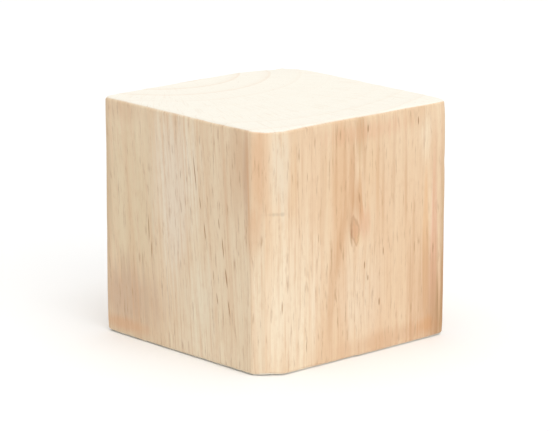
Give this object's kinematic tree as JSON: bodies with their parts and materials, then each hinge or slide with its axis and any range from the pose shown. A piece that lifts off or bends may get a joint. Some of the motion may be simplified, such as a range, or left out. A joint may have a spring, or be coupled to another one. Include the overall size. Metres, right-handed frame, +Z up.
{
  "type": "wooden cube",
  "caption": "Solid cube of unfinished softwood with planed sides, end grain on top and base, lightly eased edges and one arris sanded rounder.",
  "frame": {"origin": "centre of the base face, where the cube stands", "axes": "+Z up along the grain, from the base's end grain to the top's; -Y out of the front long-grain face; +X to the right, so that the worn arris is at -X -Y"},
  "size_m": [0.05, 0.05, 0.05],
  "materials": {
    "pine": "unfinished, planed and sanded"
  },
  "bodies": {
    "root": {"cube_block": "pine"}
  },
  "joints": []
}
